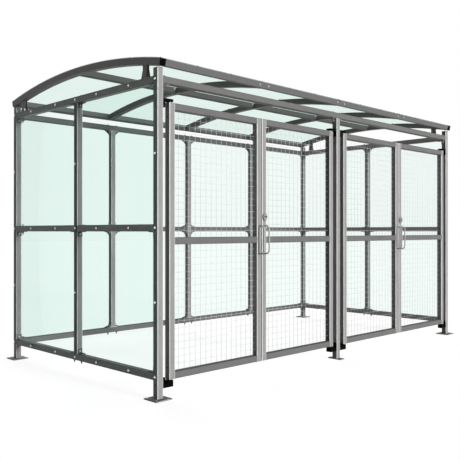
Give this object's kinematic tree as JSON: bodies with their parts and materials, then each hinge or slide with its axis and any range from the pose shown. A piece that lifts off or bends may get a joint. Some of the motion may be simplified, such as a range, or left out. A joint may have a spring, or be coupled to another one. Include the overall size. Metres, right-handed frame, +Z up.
{
  "type": "bike shelter",
  "caption": "Walk-in cycle shelter of square steel tube with a shallow curved clear roof, clear side and rear walls and double mesh gates along the front.",
  "frame": {"origin": "on the ground, at the middle of the overall footprint", "axes": "+Z up, +X to the right along the gates, -Y towards the person who opens the gates"},
  "size_m": [4.188, 2.169, 2.426],
  "materials": {
    "galvanised_steel": "matt galvanised",
    "plated_steel": "satin",
    "clear_sheet": "clear with a faint green tint",
    "black_plastic": "matt black"
  },
  "bodies": {
    "frame": {"cleats": "galvanised_steel", "end_caps": "black_plastic", "front_fascia": "galvanised_steel", "front_header": "galvanised_steel", "front_left_post": "galvanised_steel", "front_middle_post": "galvanised_steel", "front_right_post": "galvanised_steel", "gate_1_pivots": "black_plastic", "gate_2_pivots": "black_plastic", "inner_arches": "galvanised_steel", "left_arch": "galvanised_steel", "left_bottom_rail": "galvanised_steel", "left_mid_rail": "galvanised_steel", "left_top_rail": "galvanised_steel", "left_upright": "galvanised_steel", "left_wall_sheet": "clear_sheet", "rear_bottom_rail": "galvanised_steel", "rear_eaves_beam": "galvanised_steel", "rear_left_post": "galvanised_steel", "rear_mid_rail": "galvanised_steel", "rear_right_post": "galvanised_steel", "rear_top_rail": "galvanised_steel", "rear_uprights": "galvanised_steel", "rear_wall_sheets": "clear_sheet", "right_arch": "galvanised_steel", "right_bottom_rail": "galvanised_steel", "right_mid_rail": "galvanised_steel", "right_top_rail": "galvanised_steel", "right_upright": "galvanised_steel", "right_wall_sheet": "clear_sheet", "roof_brackets": "galvanised_steel", "roof_purlins": "galvanised_steel", "roof_sheets": "clear_sheet"},
    "gate_1_left": {"gate_1_left_frame": "galvanised_steel", "gate_1_left_handle": "plated_steel", "gate_1_left_mesh": "galvanised_steel"},
    "gate_1_right": {"gate_1_right_frame": "galvanised_steel", "gate_1_right_handle": "plated_steel", "gate_1_right_lock": "plated_steel", "gate_1_right_mesh": "galvanised_steel"},
    "gate_2_left": {"gate_2_left_frame": "galvanised_steel", "gate_2_left_handle": "plated_steel", "gate_2_left_mesh": "galvanised_steel"},
    "gate_2_right": {"gate_2_right_frame": "galvanised_steel", "gate_2_right_handle": "plated_steel", "gate_2_right_lock": "plated_steel", "gate_2_right_mesh": "galvanised_steel"}
  },
  "joints": [
    {"name": "gate_1_left_hinge", "type": "hinge", "parent": "frame", "child": "gate_1_left", "pos_m": [-1.921, -0.9995, 1.0755], "axis": [0, 0, -1], "range_deg": [0, 90]},
    {"name": "gate_1_right_hinge", "type": "hinge", "parent": "frame", "child": "gate_1_right", "pos_m": [-0.104, -0.9995, 1.0755], "axis": [0, 0, 1], "range_deg": [0, 90]},
    {"name": "gate_2_left_hinge", "type": "hinge", "parent": "frame", "child": "gate_2_left", "pos_m": [0.104, -0.9995, 1.0755], "axis": [0, 0, -1], "range_deg": [0, 90]},
    {"name": "gate_2_right_hinge", "type": "hinge", "parent": "frame", "child": "gate_2_right", "pos_m": [1.921, -0.9995, 1.0755], "axis": [0, 0, 1], "range_deg": [0, 90]}
  ]
}
